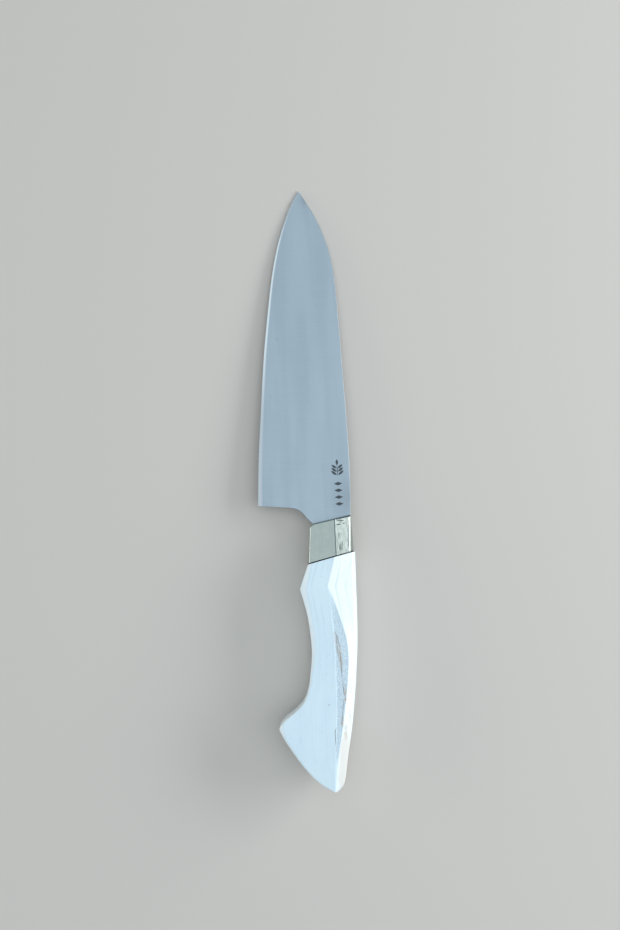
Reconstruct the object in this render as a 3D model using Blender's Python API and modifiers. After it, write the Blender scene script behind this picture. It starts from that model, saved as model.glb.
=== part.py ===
"""Chef's knife with a bone handle and a metal bolster, lying on its right side.

Run with: blender --background --python part.py

The design frame is in millimetres. X runs across the knife: 0 at the spine, the cutting edge
and the belly of the handle negative. Y runs along it: 0 at the ricasso's corner on the spine,
the tip positive, the butt negative. Z goes through the thickness, 0 on the blade's middle
plane, and every piece is symmetric about that plane.

The knife is heavier in front of the handle's thickest ridge than behind it. So it rests on
that ridge and on the tip of the blade, and one empty tilts every piece into that attitude and
puts the origin under the middle of the whole.
"""

import math

import bmesh
import bpy
from mathutils import Vector

MM = 0.001
GLUE = 0.25  # the gap between two pieces that are glued face to face
COLLECTION = "chef_knife"
CUTTERS = "cutters"

# Blade: outline as (x, y), faces as planes
SPINE = [
    (0.0, -0.45), (0.8, 17), (1.1, 42.5), (0.5, 74.5), (-0.1, 105), (-1.1, 129),
    (-3.8, 145), (-8.6, 159), (-13.1, 168), (-17.4, 175.7),
]  # fmt: skip
EDGE = [
    (-17.4, 175.7), (-22.8, 166), (-28.6, 150.5), (-33.4, 131.5), (-37.3, 108),
    (-40.6, 84), (-43.4, 57), (-45.8, 32.5), (-47.4, 7.5),
]  # fmt: skip
CHOIL = [(-30.7, 5.4), (-27.6, 4.6), (-24.5, 2.3), (-22.0, -0.9), (-19.2, -3.9)]
SPINE_ROOT_HALF = 1.40  # half the thickness of the spine at the bolster
HEEL_HALF = 0.3  # half the thickness where the heel's bevel starts
TIP_HALF = 0.45
EDGE_HALF = 0.04
BEVEL_AT_TIP = 0.9
BEVEL_MIDDLE = 1.3
BEVEL_AT_HEEL = 2.3
OUTLINE_STEPS = 5  # points in each span of a smooth outline

# Tang: a tapering bar with half-round notches that lock it in its bedding
TANG_FRONT_Y = 2.5  # inside the ricasso
TANG_END_Y = -106
TANG_FRONT_X = (-16.0, -6.6)
TANG_END_X = (-19.8, -14.3)
TANG_HALF = 0.75
NOTCH_Y = (-40, -62, -84)
NOTCH_R = 1.3
POCKET_MARGIN = 1.2  # bedding around the tang's edges
POCKET_HALF = 2.3

# Canted joints between the pieces: y where each plane crosses x = 0, and its slope dy/dx
FRONT_CANT = 0.18
BOLSTER_FRONT_Y = SPINE[0][1] - GLUE
BOLSTER_BACK_Y = -18.6
BACK_CANT = 0.225
SPACER = 0.3
BONE_FRONT_Y = BOLSTER_BACK_Y - SPACER - 2 * GLUE

# Bolster: a section's half, spine to belly, as (x, z), at its front and back
BOLSTER_FRONT = [(0.1, 3.0), (-0.2, 3.8), (-8.6, 7.9), (-20.7, 7.9), (-21.4, 7.2)]
BOLSTER_BACK = [(0.5, 1.2), (-1.3, 4.0), (-8.8, 8.3), (-22.3, 8.3), (-23.0, 7.6)]
BOLSTER_CORNER = (-20.4, -4.9, 0)  # a point on the flat that takes off its front corner
BOLSTER_CORNER_OUT = (-0.6, 0.8, 0)

# Bone handle: lines of its facets. GUARD_Y is the ridge across its sides, its thickest place.
GUARD_Y = -36.4
BUTT_Y = -137.2
GUARD_HALF = 9.9
FRONT_HALF = 8.6  # at the front face
GRIP_HALF = 9.2
BELLY_FRONT = [(-15, -19.7), (GUARD_Y, -28.1)]
BELLY = [
    (GUARD_Y, -28.1), (-52, -24.8), (-66, -23.8), (-82, -25.6), (-89, -27.4),
    (-92.5, -29.2), (-96.5, -33.0), (-101.9, -40.1), (-105, -42.1), (-108, -41.0),
    (-116.7, -36.0), (-125.6, -29.9), (-132.2, -23.8), (-136.4, -17.6), (BUTT_Y, -15.9),
]  # fmt: skip
BACK = [
    (-15, 1.3), (-38, 0.6), (-59, -0.1), (-79, -1.9), (-103, -5.2), (-122.5, -9.1),
    (-131, -10.7), (-134.4, -11.9), (BUTT_Y, -14.8),
]  # fmt: skip
BELLY_BEVEL = [
    (-15, 2.0), (-25, 2.1), (GUARD_Y, 3.2), (-44, 2.4), (-58, 2.3), (-66, 2.0),
    (-79, 1.1), (-90, 0.7), (-101, 0.9), (-106, 2.2), (-110, 1.0), (BUTT_Y, 0.6),
]  # fmt: skip
BELLY_HALF = [
    (-15, 7.9), (GUARD_Y, 9.2), (-58, 8.7), (-90, 8.8), (-106, 9.0), (BUTT_Y, 8.1),
]  # fmt: skip
SIDE_HALF = [
    (GUARD_Y, GUARD_HALF), (-52, GRIP_HALF), (-95, GRIP_HALF), (-108, 9.5), (BUTT_Y, 8.4),
]  # fmt: skip
FLAT_TOP_FRONT = [(-15, -7.8), (GUARD_Y, -14.2)]  # upper border of the side's flat
FLAT_TOP = [
    (GUARD_Y, -14.2), (-49.5, -12.8), (-66, -12.4), (-82, -12.7), (-94, -13.0),
    (-116, -14.7), (BUTT_Y, -16.2),
]  # fmt: skip
FACET_FRONT = [(-15, -7.4), (GUARD_Y, -13.7)]  # lower border of the facet along the spine
FACET = [
    (GUARD_Y, -13.7), (-46.3, -10.1), (-57.8, -7.0), (-63.3, -5.8), (-70.3, -5.4),
    (-82, -6.4), (-94.2, -8.4), (-104, -10.1), (-124.3, -14.2), (BUTT_Y, -15.9),
]  # fmt: skip
FACET_HALF = [(-15, 8.4), (GUARD_Y, 9.8), (-50, 8.4), (-69, 7.7), (-90, 8.3), (-115, 8.9), (BUTT_Y, 8.2)]
CREST = [(-15, 1.5), (-60, 1.1), (BUTT_Y, 0.8)]  # width of the narrow facet next to the spine
CREST_HALF = [(-15, 4.5), (-80, 5.4), (-110, 6.0), (BUTT_Y, 6.6)]
BACK_HALF = [(-15, 2.9), (-80, 4.2), (-110, 5.0), (BUTT_Y, 6.0)]
STATION_STEP = 4.0
CLOSE_STATIONS = (
    -34.9, -35.7, -37.1, -37.9, -90.5, -94, -98, -100, -103.5, -106.5, -132.5, -135.4, -136.4,
)  # fmt: skip

MATERIALS = {
    "steel": ((0.40, 0.45, 0.49), 0.34, 1.0),
    "nickel_silver": ((0.62, 0.60, 0.54), 0.22, 1.0),
    "bone": ((0.80, 0.84, 0.85), 0.38, 0.0),
    "fibre": ((0.015, 0.015, 0.016), 0.65, 0.0),
    "epoxy": ((0.02, 0.02, 0.02), 0.45, 0.0),
}


def clear_scene():
    for obj in list(bpy.data.objects):
        bpy.data.objects.remove(obj, do_unlink=True)


def make_collection(name):
    collection = bpy.data.collections.new(name)
    bpy.context.scene.collection.children.link(collection)
    return collection


def make_material(name):
    colour, roughness, metallic = MATERIALS[name]
    material = bpy.data.materials.new(name)
    material.use_nodes = True
    shader = material.node_tree.nodes["Principled BSDF"]
    shader.inputs["Base Color"].default_value = (*colour, 1.0)
    shader.inputs["Roughness"].default_value = roughness
    shader.inputs["Metallic"].default_value = metallic
    return material


def smooth_outline(points, steps=OUTLINE_STEPS):
    """Points along a Catmull-Rom curve through the given (x, y) points."""
    ends = [Vector(points[0]) * 2 - Vector(points[1]), Vector(points[-1]) * 2 - Vector(points[-2])]
    knots = [ends[0], *map(Vector, points), ends[1]]
    curve = []
    for a, b, c, d in zip(knots, knots[1:], knots[2:], knots[3:]):
        for step in range(steps):
            t = step / steps
            curve.append(
                (2 * b + (c - a) * t + (2 * a - 5 * b + 4 * c - d) * t**2 + (3 * b - a - 3 * c + d) * t**3) / 2
            )
    return [(p.x, p.y) for p in curve] + [tuple(points[-1])]


def slopes(keys):
    """Slopes at the keys that keep a cubic through them from overshooting."""
    rise = [(b[1] - a[1]) / (b[0] - a[0]) for a, b in zip(keys, keys[1:])]
    inner = [0.0 if a * b <= 0 else 2 * a * b / (a + b) for a, b in zip(rise, rise[1:])]
    return [rise[0], *inner, rise[-1]]


def along(keys, y):
    """Value at y of a smooth line through the (y, value) keys, which run from front to back."""
    y = min(max(y, keys[-1][0]), keys[0][0])
    tangents = slopes(keys)
    for (y0, v0), (y1, v1), m0, m1 in zip(keys, keys[1:], tangents, tangents[1:]):
        if y >= y1:
            span = y1 - y0
            t = (y - y0) / span
            return (
                v0 * (1 + 2 * t) * (1 - t) ** 2
                + m0 * span * t * (1 - t) ** 2
                + v1 * t**2 * (3 - 2 * t)
                + m1 * span * t**2 * (t - 1)
            )
    return keys[-1][1]


def split_along(front, rear, y):
    """A line that has a corner at the guard ridge."""
    return along(front if y > GUARD_Y else rear, y)


def blade_half(x, y):
    """Half the blade's thickness: each side is one flat plane, thinner to the edge and the tip."""
    heel_x = EDGE[-1][0] + BEVEL_AT_HEEL
    across = (SPINE_ROOT_HALF - HEEL_HALF) / -heel_x
    tip_x, tip_y = SPINE[-1]
    lengthways = (TIP_HALF - SPINE_ROOT_HALF - across * tip_x) / tip_y
    return SPINE_ROOT_HALF + across * x + lengthways * y


def bevel_line(edge):
    """The inner border of the edge bevel, from near the tip to the heel."""
    keys = [(EDGE[0][1], BEVEL_AT_TIP), (90, BEVEL_MIDDLE), (EDGE[-1][1], BEVEL_AT_HEEL)]
    inner = []
    for before, here, after in zip(edge, edge[1:], [*edge[2:], edge[-1]]):
        direction = (Vector(after) - Vector(before)).normalized()
        inward = Vector((-direction.y, direction.x))
        point = Vector(here) + inward * along(keys, here[1])
        inner.append((point.x, point.y))
    heel = Vector(EDGE[-1])
    bottom = (Vector(CHOIL[0]) - heel).normalized()
    inner[-1] = tuple(heel + bottom * BEVEL_AT_HEEL)
    return inner


def object_from(bm, name, collection, material=None):
    """Makes an object of a bmesh that is in millimetres, with its faces turned outwards."""
    bmesh.ops.recalc_face_normals(bm, faces=bm.faces)
    bmesh.ops.scale(bm, vec=(MM, MM, MM), verts=bm.verts)
    mesh = bpy.data.meshes.new(name)
    bm.to_mesh(mesh)
    bm.free()
    mesh.shade_smooth()
    mesh.set_sharp_from_angle(angle=math.radians(12))
    obj = bpy.data.objects.new(name, mesh)
    collection.objects.link(obj)
    if material:
        obj.data.materials.append(material)
    else:
        obj.hide_render = True
        obj.display_type = "WIRE"
    return obj


def blade_mesh():
    """The blade without its tang: two flat faces, the bevel, and the walls round the outline."""
    spine = smooth_outline(SPINE)
    edge = smooth_outline(EDGE)
    choil = smooth_outline(CHOIL)
    bevel = bevel_line(edge)
    edge = edge[1:]
    bm = bmesh.new()

    def pair(point, half=None):
        half = blade_half(*point) if half is None else half
        return bm.verts.new((*point, half)), bm.verts.new((*point, -half))

    spine_pairs = [pair(p) for p in spine]
    bevel_pairs = [pair(p) for p in bevel]
    edge_pairs = [pair(p, EDGE_HALF) for p in edge]
    choil_pairs = [pair(p) for p in choil]
    tip = spine_pairs[-1]
    face_border = spine_pairs + bevel_pairs + choil_pairs
    bm.faces.new([top for top, _ in face_border])
    bm.faces.new([bottom for _, bottom in face_border])
    rows = zip([tip, *bevel_pairs], bevel_pairs, [tip, *edge_pairs], edge_pairs)
    for inner, next_inner, outer, next_outer in rows:
        for side in (0, 1):
            corners = [inner[side], next_inner[side], next_outer[side], outer[side]]
            bm.faces.new(dict.fromkeys(corners))
        bm.faces.new([outer[0], next_outer[0], next_outer[1], outer[1]])
    heel_wall = [edge_pairs[-1], bevel_pairs[-1], *choil_pairs]
    for (a, a_low), (b, b_low) in zip(spine_pairs, spine_pairs[1:]):
        bm.faces.new([a, b, b_low, a_low])
    for (a, a_low), (b, b_low) in zip(heel_wall, heel_wall[1:]):
        bm.faces.new([a, b, b_low, a_low])
    (a, a_low), (b, b_low) = choil_pairs[-1], spine_pairs[0]
    bm.faces.new([a, b, b_low, a_low])
    return bm


def tang_side(front_x, end_x, outward, margin, notched):
    """One long side of the tang from front to end, as (x, y), with its notches."""

    def side_x(y):
        share = (TANG_FRONT_Y - y) / (TANG_FRONT_Y - TANG_END_Y)
        return front_x + (end_x - front_x) * share + outward * margin

    points = [(side_x(TANG_FRONT_Y), TANG_FRONT_Y)]
    radius = NOTCH_R - margin
    for notch_y in NOTCH_Y if notched else ():
        for step in range(7):
            angle = math.pi * step / 6
            y = notch_y + radius * math.cos(angle)
            points.append((side_x(y) - outward * radius * math.sin(angle), y))
    return points


def tang_mesh(margin=0.0, half=TANG_HALF, notched=True, front_y=TANG_FRONT_Y):
    """The tang, or the same shape grown by a margin, as a plate of the given half thickness."""
    belly = tang_side(TANG_FRONT_X[0], TANG_END_X[0], -1, margin, notched)
    back = tang_side(TANG_FRONT_X[1], TANG_END_X[1], 1, margin, notched)
    belly[0] = (belly[0][0], front_y)
    back[0] = (back[0][0], front_y)
    centre_x = sum(TANG_END_X) / 2
    end_r = (TANG_END_X[1] - TANG_END_X[0]) / 2 + margin
    end = []
    for step in range(9):
        angle = math.pi * step / 8
        end.append((centre_x - end_r * math.cos(angle), TANG_END_Y - end_r * math.sin(angle)))
    bm = bmesh.new()
    outline = [bm.verts.new((*p, -half)) for p in [*belly, *end, *reversed(back)]]
    face = bm.faces.new(outline)
    raised = bmesh.ops.extrude_face_region(bm, geom=[face])["geom"]
    corners = [v for v in raised if isinstance(v, bmesh.types.BMVert)]
    bmesh.ops.translate(bm, vec=(0, 0, 2 * half), verts=corners)
    return bm


def full_ring(half_section):
    """A closed section from its half, spine to belly, as (x, z)."""
    return [*half_section, *[(x, -z) for x, z in reversed(half_section)]]


def loft(rings):
    """A closed solid through rings of (x, y, z) points, all with the same number of points."""
    bm = bmesh.new()
    rows = [[bm.verts.new(p) for p in ring] for ring in rings]
    for row, following in zip(rows, rows[1:]):
        for i, vertex in enumerate(row):
            j = (i + 1) % len(row)
            bm.faces.new([vertex, row[j], following[j], following[i]])
    bm.faces.new(rows[0])
    bm.faces.new(rows[-1])
    return bm


def canted(half_section, y_at_zero, cant):
    """A full ring that lies in a canted joint plane."""
    return [(x, y_at_zero + cant * x, z) for x, z in full_ring(half_section)]


def cut_away(bm, point, outward):
    """Removes what lies beyond a plane and closes the cut."""
    geometry = [*bm.verts, *bm.edges, *bm.faces]
    cut = bmesh.ops.bisect_plane(bm, geom=geometry, plane_co=point, plane_no=outward, clear_outer=True)
    rim = [e for e in cut["geom_cut"] if isinstance(e, bmesh.types.BMEdge)]
    bmesh.ops.edgeloop_fill(bm, edges=rim)


def handle_section(y):
    """Half of the handle's section at y, spine to belly, as (x, z)."""
    back = along(BACK, y)
    belly = split_along(BELLY_FRONT, BELLY, y)
    if y > GUARD_Y:
        share = (y - GUARD_Y) / (BONE_FRONT_Y - GUARD_Y)
        side = GUARD_HALF + (FRONT_HALF - GUARD_HALF) * share
    else:
        side = along(SIDE_HALF, y)
    flat_top = split_along(FLAT_TOP_FRONT, FLAT_TOP, y)
    facet = split_along(FACET_FRONT, FACET, y)
    facet_half = min(along(FACET_HALF, y), side - 0.1)
    return [
        (back, along(BACK_HALF, y)),
        (back - along(CREST, y), along(CREST_HALF, y)),
        (facet, facet_half),
        (flat_top, side),
        (belly + along(BELLY_BEVEL, y), side),
        (belly, along(BELLY_HALF, y)),
    ]


def handle_mesh(front_y, back_y=None):
    """The handle's solid behind one canted plane and, for a slice, in front of another."""
    steps = round((-15 - BUTT_Y) / STATION_STEP)
    stations = {-15 + (BUTT_Y + 15) * i / steps for i in range(steps + 1)}
    stations |= {GUARD_Y, -52, -95, *CLOSE_STATIONS}
    rings = []
    for y in sorted(stations, reverse=True):
        rings.append([(x, y, z) for x, z in full_ring(handle_section(y))])
    bm = loft(rings)
    bmesh.ops.recalc_face_normals(bm, faces=bm.faces)
    cut_away(bm, (0, front_y, 0), (-BACK_CANT, 1, 0))
    if back_y is not None:
        cut_away(bm, (0, back_y, 0), (BACK_CANT, -1, 0))
    return bm


def boolean(obj, cutter, operation="DIFFERENCE"):
    modifier = obj.modifiers.new(cutter.name, "BOOLEAN")
    modifier.operation = operation
    modifier.object = cutter
    modifier.solver = "EXACT"


def build_blade(parts, cutters, steel):
    """One piece of steel: the ground blade with its tang."""
    tang = object_from(tang_mesh(), "tang_shape", cutters)
    blade = object_from(blade_mesh(), "blade", parts, steel)
    boolean(blade, tang, "UNION")


def build_bolster(parts, slot, nickel_silver):
    rings = [
        canted(BOLSTER_FRONT, BOLSTER_FRONT_Y, FRONT_CANT),
        canted(BOLSTER_BACK, BOLSTER_BACK_Y, BACK_CANT),
    ]
    bm = loft(rings)
    bmesh.ops.recalc_face_normals(bm, faces=bm.faces)
    cut_away(bm, BOLSTER_CORNER, BOLSTER_CORNER_OUT)
    bolster = object_from(bm, "bolster", parts, nickel_silver)
    ease = bolster.modifiers.new("eased_edges", "BEVEL")
    ease.width = 0.35 * MM
    ease.segments = 2
    ease.limit_method = "ANGLE"
    ease.angle_limit = math.radians(20)
    boolean(bolster, slot)


def build_spacer(parts, slot, fibre):
    front_y = BOLSTER_BACK_Y - GLUE
    spacer = object_from(handle_mesh(front_y, front_y - SPACER), "spacer", parts, fibre)
    boolean(spacer, slot)


def build_handle_halves(parts, cutters, bone):
    """Two slabs of bone, glued on the middle plane over a pocket for the tang."""
    pocket = object_from(
        tang_mesh(POCKET_MARGIN, POCKET_HALF, notched=False), "pocket_shape", cutters
    )
    for name, side in (("handle_half_left", 1), ("handle_half_right", -1)):
        bm = handle_mesh(BONE_FRONT_Y)
        cut_away(bm, (0, 0, side * GLUE / 2), (0, 0, -side))
        boolean(object_from(bm, name, parts, bone), pocket)


def build_tang_bedding(parts, slot, epoxy):
    """Cured epoxy that fills the pocket round the tang."""
    bm = tang_mesh(POCKET_MARGIN - GLUE, POCKET_HALF - GLUE, notched=False)
    bmesh.ops.recalc_face_normals(bm, faces=bm.faces)
    cut_away(bm, (0, BONE_FRONT_Y, 0), (-BACK_CANT, 1, 0))
    bedding = object_from(bm, "tang_bedding", parts, epoxy)
    boolean(bedding, slot)


def world_bounds(objects):
    graph = bpy.context.evaluated_depsgraph_get()
    corners = []
    for obj in objects:
        evaluated = obj.evaluated_get(graph)
        mesh = evaluated.to_mesh()
        corners += [evaluated.matrix_world @ v.co for v in mesh.vertices]
        evaluated.to_mesh_clear()
    low = Vector(map(min, zip(*corners)))
    high = Vector(map(max, zip(*corners)))
    return low, high


def lay_down(parts):
    """Tilts the knife until the ridge and the tip touch the surface, over the origin."""
    rest = bpy.data.objects.new("rest_attitude", None)
    bpy.context.scene.collection.objects.link(rest)
    rest.rotation_euler.x = -math.atan2(GUARD_HALF - TIP_HALF, SPINE[-1][1] - GUARD_Y)
    for obj in bpy.data.objects:
        if obj is not rest:
            obj.parent = rest
    bpy.context.view_layer.update()
    low, high = world_bounds(parts.objects)
    middle = (low + high) / 2
    rest.location = (-middle.x, -middle.y, -low.z)
    bpy.context.view_layer.update()


def main():
    clear_scene()
    parts = make_collection(COLLECTION)
    cutters = make_collection(CUTTERS)
    materials = {name: make_material(name) for name in MATERIALS}
    slot = object_from(tang_mesh(GLUE, TANG_HALF + GLUE), "slot_shape", cutters)
    build_blade(parts, cutters, materials["steel"])
    build_bolster(parts, slot, materials["nickel_silver"])
    build_spacer(parts, slot, materials["fibre"])
    build_handle_halves(parts, cutters, materials["bone"])
    build_tang_bedding(parts, slot, materials["epoxy"])
    lay_down(parts)


main()
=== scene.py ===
"""Looks of the chef's knife: fine meshes, materials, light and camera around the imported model.

Lengths are in millimetres in the knife's design frame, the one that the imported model's source
uses. X runs across the knife: 0 at the spine, the cutting edge and the handle's belly negative.
Y runs along it: 0 at the ricasso, the tip positive. Z goes through the thickness from the
middle plane. rest_matrix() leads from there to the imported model's frame, in which the knife
lies on its right side, on the ridge of its handle and on its tip.
"""

import math

import bmesh
import bpy
from mathutils import Matrix, Vector, noise


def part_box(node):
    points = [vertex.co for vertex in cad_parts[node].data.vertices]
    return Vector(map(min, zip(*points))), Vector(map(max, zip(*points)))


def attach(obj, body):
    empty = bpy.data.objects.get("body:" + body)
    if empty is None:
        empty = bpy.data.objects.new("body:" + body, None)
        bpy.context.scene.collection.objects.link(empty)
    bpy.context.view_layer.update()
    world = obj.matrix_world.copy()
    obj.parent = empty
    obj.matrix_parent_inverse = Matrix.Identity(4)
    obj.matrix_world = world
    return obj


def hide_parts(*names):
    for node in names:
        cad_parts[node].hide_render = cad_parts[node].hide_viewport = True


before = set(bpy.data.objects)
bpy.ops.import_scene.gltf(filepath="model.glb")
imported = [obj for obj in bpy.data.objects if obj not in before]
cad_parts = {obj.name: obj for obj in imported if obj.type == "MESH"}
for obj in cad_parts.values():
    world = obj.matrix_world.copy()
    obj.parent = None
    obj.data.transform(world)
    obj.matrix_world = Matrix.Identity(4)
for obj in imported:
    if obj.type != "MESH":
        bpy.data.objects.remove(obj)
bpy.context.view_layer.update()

MM = 0.001
BODY = "root"

# ---------------------------------------------------------------- shape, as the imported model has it

SPINE = [
    (0.0, -0.45), (0.8, 17), (1.1, 42.5), (0.5, 74.5), (-0.1, 105), (-1.1, 129),
    (-3.8, 145), (-8.6, 159), (-13.1, 168), (-17.4, 175.7),
]  # fmt: skip
EDGE = [
    (-17.4, 175.7), (-22.8, 166), (-28.6, 150.5), (-33.4, 131.5), (-37.3, 108),
    (-40.6, 84), (-43.4, 57), (-45.8, 32.5), (-47.4, 7.5),
]  # fmt: skip
CHOIL = [(-30.7, 5.4), (-27.6, 4.6), (-24.5, 2.3), (-22.0, -0.9), (-19.2, -3.9)]
TIP_X, TIP_Y = SPINE[-1]
HEEL_X, HEEL_Y = EDGE[-1]
SPINE_ROOT_HALF = 1.40
HEEL_HALF = 0.3
TIP_HALF = 0.45
EDGE_HALF = 0.04
BEVEL_AT_TIP = 0.9
BEVEL_MIDDLE = 1.3
BEVEL_AT_HEEL = 2.3

TANG_FRONT_Y = 2.5
TANG_END_Y = -106
TANG_FRONT_X = (-16.0, -6.6)
TANG_END_X = (-19.8, -14.3)
TANG_HALF = 0.75
NOTCH_Y = (-40, -62, -84)
NOTCH_R = 1.3

FRONT_CANT = 0.18
BOLSTER_FRONT_Y = -0.7
BOLSTER_BACK_Y = -18.6
BACK_CANT = 0.225
BONE_FRONT_Y = -19.4
BOLSTER_FRONT = [(0.1, 3.0), (-0.2, 3.8), (-8.6, 7.9), (-20.7, 7.9), (-21.4, 7.2)]
BOLSTER_BACK = [(0.5, 1.2), (-1.3, 4.0), (-8.8, 8.3), (-22.3, 8.3), (-23.0, 7.6)]
BOLSTER_CORNER = (-20.4, -4.9, 0)
BOLSTER_CORNER_OUT = (-0.6, 0.8, 0)

GUARD_Y = -36.4
BUTT_Y = -137.2
GUARD_HALF = 9.9
FRONT_HALF = 8.6
GRIP_HALF = 9.2
BELLY_FRONT = [(-15, -19.7), (GUARD_Y, -28.1)]
BELLY = [
    (GUARD_Y, -28.1), (-52, -24.8), (-66, -23.8), (-82, -25.6), (-89, -27.4),
    (-92.5, -29.2), (-96.5, -33.0), (-101.9, -40.1), (-105, -42.1), (-108, -41.0),
    (-116.7, -36.0), (-125.6, -29.9), (-132.2, -23.8), (-136.4, -17.6), (BUTT_Y, -15.9),
]  # fmt: skip
BACK = [
    (-15, 1.3), (-38, 0.6), (-59, -0.1), (-79, -1.9), (-103, -5.2), (-122.5, -9.1),
    (-131, -10.7), (-134.4, -11.9), (BUTT_Y, -14.8),
]  # fmt: skip
BELLY_BEVEL = [
    (-15, 2.0), (-25, 2.1), (GUARD_Y, 3.2), (-44, 2.4), (-58, 2.3), (-66, 2.0),
    (-79, 1.1), (-90, 0.7), (-101, 0.9), (-106, 2.2), (-110, 1.0), (BUTT_Y, 0.6),
]  # fmt: skip
BELLY_HALF = [
    (-15, 7.9), (GUARD_Y, 9.2), (-58, 8.7), (-90, 8.8), (-106, 9.0), (BUTT_Y, 8.1),
]  # fmt: skip
SIDE_HALF = [
    (GUARD_Y, GUARD_HALF), (-52, GRIP_HALF), (-95, GRIP_HALF), (-108, 9.5), (BUTT_Y, 8.4),
]  # fmt: skip
FLAT_TOP_FRONT = [(-15, -7.8), (GUARD_Y, -14.2)]
FLAT_TOP = [
    (GUARD_Y, -14.2), (-49.5, -12.8), (-66, -12.4), (-82, -12.7), (-94, -13.0),
    (-116, -14.7), (BUTT_Y, -16.2),
]  # fmt: skip
FACET_FRONT = [(-15, -7.4), (GUARD_Y, -13.7)]
FACET = [
    (GUARD_Y, -13.7), (-46.3, -10.1), (-57.8, -7.0), (-63.3, -5.8), (-70.3, -5.4),
    (-82, -6.4), (-94.2, -8.4), (-104, -10.1), (-124.3, -14.2), (BUTT_Y, -15.9),
]  # fmt: skip
FACET_HALF = [
    (-15, 8.4), (GUARD_Y, 9.8), (-50, 8.4), (-69, 7.7), (-90, 8.3), (-115, 8.9), (BUTT_Y, 8.2),
]  # fmt: skip
CREST = [(-15, 1.5), (-60, 1.1), (BUTT_Y, 0.8)]
CREST_HALF = [(-15, 4.5), (-80, 5.4), (-110, 6.0), (BUTT_Y, 6.6)]
BACK_HALF = [(-15, 2.9), (-80, 4.2), (-110, 5.0), (BUTT_Y, 6.0)]

# ---------------------------------------------------------------- finer detail than the model's

OUTLINE_STEPS = 12  # points in each span of a smooth outline
EASED = 0.3  # radius of the blade's spine and choil edges
UNEASED = 0.001  # the same where they are sharp: at the tip and at the heel
ARC_STEPS = 3
BEVEL_CROWN = 0.02  # how far the edge bevel bulges
NOTCH_STEPS = 12
TANG_END_STEPS = 16
BOLSTER_EASED = 0.35
BOLSTER_REACH = 0.16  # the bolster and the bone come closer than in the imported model
BONE_REACH = 0.24
LINER_GAP = 0.08
LINER_RECESS = 0.12
SEAM_HALF = 0.03  # half the glue line between the two bone slabs
CANT_ROUNDS = 6  # rounds in which a canted corner's x and y settle, as each depends on the other
STATION_STEP = 0.4
CORNER_RADII = (0.5, 0.5, 0.35, 0.3, 0.45, 0.6)  # back, crest, facet, flat top, bevel, belly
SPAN_STEPS = (3, 16, 22, 26, 7)  # mesh columns between those corners
WALL_STEPS = 6  # and from the first and the last of them to the middle plane
BUTT_ROUND_Y = -129  # from here to the butt the rows of the mesh draw closer together
GRAIN_FOLLOWS = 0.75  # how much the bone's grain follows the belly
GRAIN_FLOOR_X = -28.0  # but not down into the hook

# Drying cracks in the bone's natural surface: start and end as (x, y), and half the width
CRACKS = [
    ((-11.0, -59.5), (-9.6, -68.0), 0.18),
    ((-9.7, -66.0), (-9.4, -84.0), 0.24),
    ((-9.4, -82.0), (-8.8, -92.0), 0.20),
    ((-8.9, -90.0), (-11.4, -106.5), 0.19),
    ((-11.4, -56.5), (-10.6, -75.5), 0.20),
    ((-14.0, -104.0), (-14.9, -116.0), 0.24),
    ((-16.8, -94.1), (-16.8, -94.9), 0.30),
]
# Brown stains along it: start and end as (x, y), half the width, and strength
STAINS = [
    ((-9.8, -64.0), (-9.6, -80.0), 1.1, 0.9),
    ((-8.1, -83.5), (-8.5, -96.0), 0.9, 1.0),
    ((-5.3, -79.0), (-5.7, -92.0), 1.0, 0.5),
    ((-10.4, -98.5), (-11.0, -107.5), 0.8, 1.0),
    ((-9.0, -103.0), (-9.6, -113.5), 1.0, 0.6),
    ((-6.3, -96.0), (-6.9, -106.0), 0.8, 0.5),
    ((-11.9, -56.0), (-11.2, -70.0), 1.3, 0.35),
]
# The facet along the spine is cream towards the butt: start, end and half the width
CREAM = ((-8.6, -103.0), (-13.2, -142.0), 3.4)
PORE_DEPTH = 0.12
WAVE_DEPTH = 0.12
# Scratches in the steel: start and end as (x, y), and half the width
SCRATCHES = [((-33.9, 97.2), (-32.0, 92.8), 0.13), ((-38.2, 65.8), (-37.3, 63.4), 0.15)]
# Marks on the bolster: a painted dark reflection along its ridge, then scratches on the facet beside
# it
RIDGE_DARK_REFLECTION = ((-8.5, 6.0), (-8.9, -29.0), 0.34)
BOLSTER_MARKS = [
    ((-5.6, -2.6), (-5.6, -3.3), 2.4), ((-6.7, -4.4), (-6.7, -5.3), 1.5),
    ((-4.0, -4.0), (-4.0, -4.8), 0.7), ((-6.9, -8.6), (-6.7, -12.6), 0.30),
    ((-6.3, -8.4), (-6.2, -12.0), 0.22), ((-6.9, -14.6), (-6.5, -18.6), 0.32),
    ((-6.2, -13.4), (-5.9, -18.9), 0.28), ((-4.9, -8.8), (-5.2, -11.0), 0.24),
    ((-5.3, -12.8), (-5.4, -18.0), 0.22), ((-1.7, -4.5), (-2.3, -19.5), 0.28),
]  # fmt: skip
# Painted dark reflections on the steel: centre as (x, y), radius, and strength
DARK_REFLECTION_SPOTS = [((-14.2, 170.0), 5.0, 0.3), ((1.5, 9.0), 16.0, 0.4)]

# The etched mark: a twig of leaves, and a row of lozenges under it
MARK_X = -5.4
MARK_LIFT = 0.012  # so thin that only its colour shows
TWIG_Y = 20.5
TWIG_LENGTH = 6.2
TWIG_WIDTH = 0.5
TOP_LEAF = (3.2, 1.3)  # length and width
LEAF_PAIRS = 3
LEAF_PITCH = 1.75
LEAF_ANGLE = math.radians(52)
LEAF_SIZE = (3.7, 1.25)
LEAF_SHORTER = 0.3  # each pair than the one below it
LEAF_STEPS = 9
LOZENGES = 4
LOZENGE_FIRST_Y = 16.6
LOZENGE_PITCH = 3.5
LOZENGE_SIZE = (4.4, 1.9)

# ---------------------------------------------------------------- camera and floor

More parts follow.
